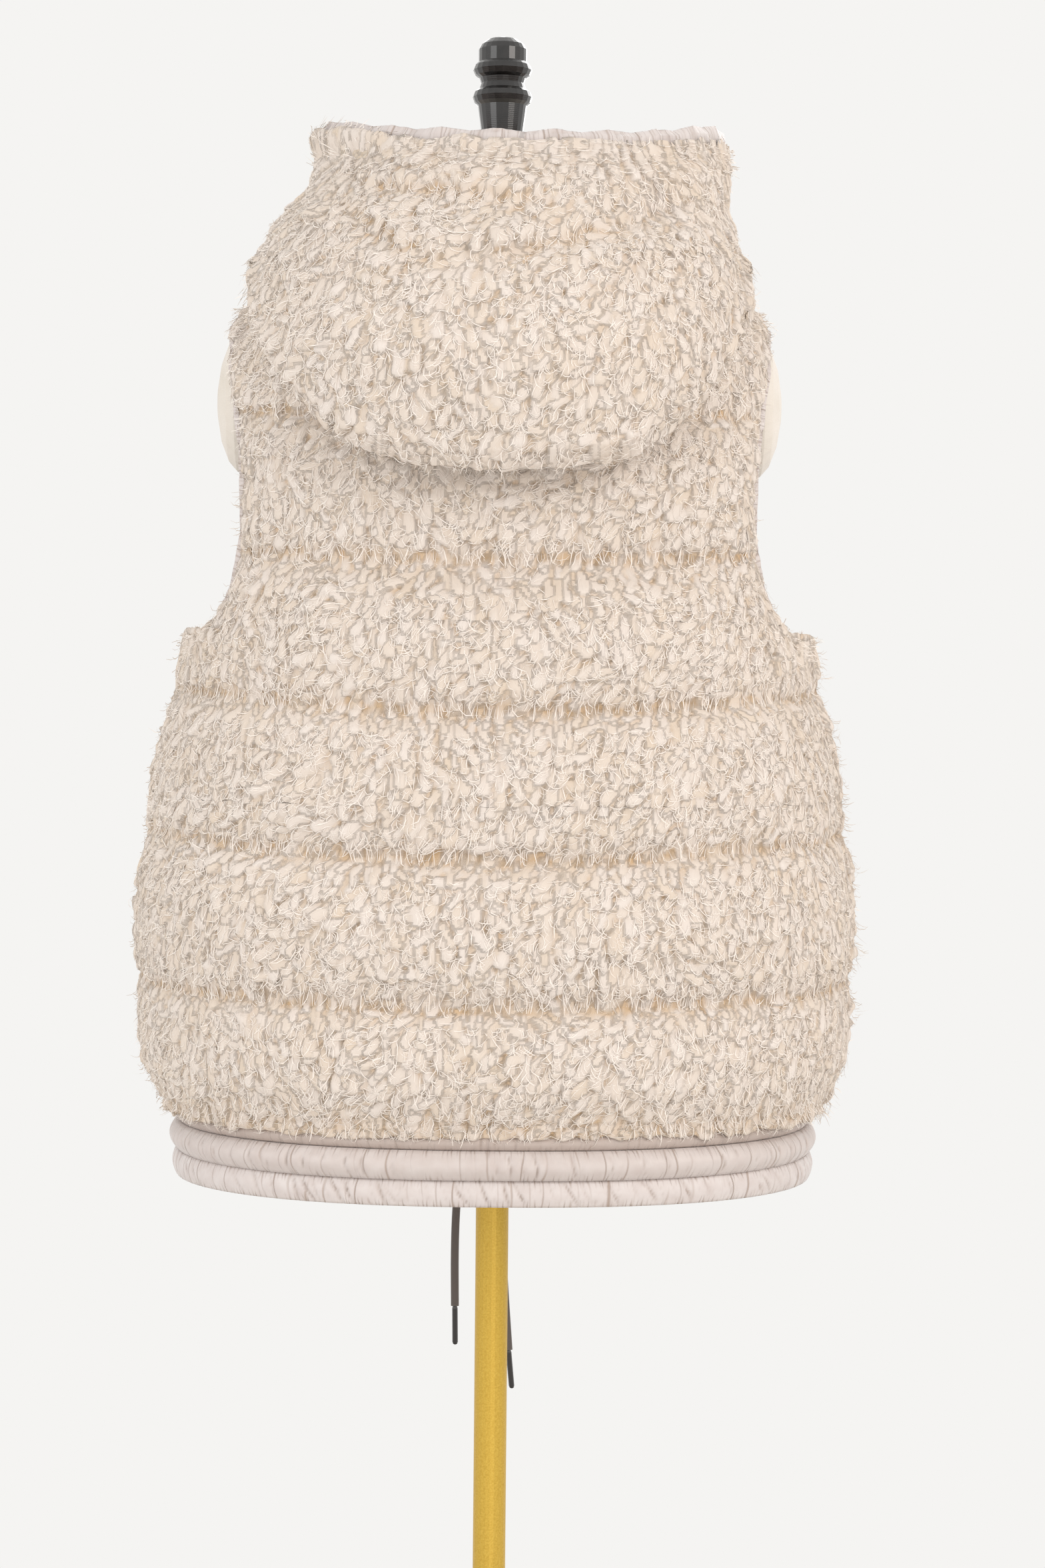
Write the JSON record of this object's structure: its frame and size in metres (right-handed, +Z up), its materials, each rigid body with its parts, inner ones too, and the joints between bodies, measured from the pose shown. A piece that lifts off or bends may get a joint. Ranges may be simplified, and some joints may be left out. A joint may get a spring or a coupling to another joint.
{
  "type": "hooded puffer vest on a dress form",
  "caption": "Quilted hooded puffer vest of curly cream fleece with gathered satin edges, worn by a limbless dress form on a gold stand with a black turned finial",
  "frame": {"origin": "On the floor in the middle of the stand's round foot.", "axes": "+Z is up along the pole; -Y faces the back of the vest with its hood; +Y faces the zipped front; +X is the wearer's right, seen at the right from behind."},
  "size_m": [0.4884, 0.3765, 1.409],
  "materials": {
    "curly_fleece": "deep curly pile",
    "gathered_satin": "soft satin sheen",
    "zip_tape": "woven tape",
    "zip_metal": "satin",
    "dark_cord": "braided, matte",
    "cord_tip": "gloss",
    "form_linen": "smooth stretched linen",
    "black_wood": "black satin lacquer",
    "gold_paint": "satin gold paint"
  },
  "bodies": {
    "vest_and_form": {"back_panel": "curly_fleece", "front_right": "curly_fleece", "front_left": "curly_fleece", "hood": "curly_fleece", "hood_edge": "gathered_satin", "armhole_edge_right": "gathered_satin", "armhole_edge_left": "gathered_satin", "hem_strip": "gathered_satin", "hem_roll": "gathered_satin", "hem_band": "gathered_satin", "zip_tape": "zip_tape", "zip_slider": "zip_metal", "drawcord_left": "dark_cord", "drawcord_right": "dark_cord", "cord_tip_left": "cord_tip", "cord_tip_right": "cord_tip", "form_torso": "form_linen", "arm_plate_right": "form_linen", "arm_plate_left": "form_linen", "finial": "black_wood", "pole": "gold_paint", "foot": "gold_paint"},
    "pull_tab": {"zip_pull": "zip_metal"}
  },
  "joints": [
    {"name": "pull_tab_hinge", "type": "hinge", "parent": "vest_and_form", "child": "pull_tab", "pos_m": [0, 0.1, 1.21847], "axis": [1, 0, 0], "range_deg": [0, 150]}
  ]
}
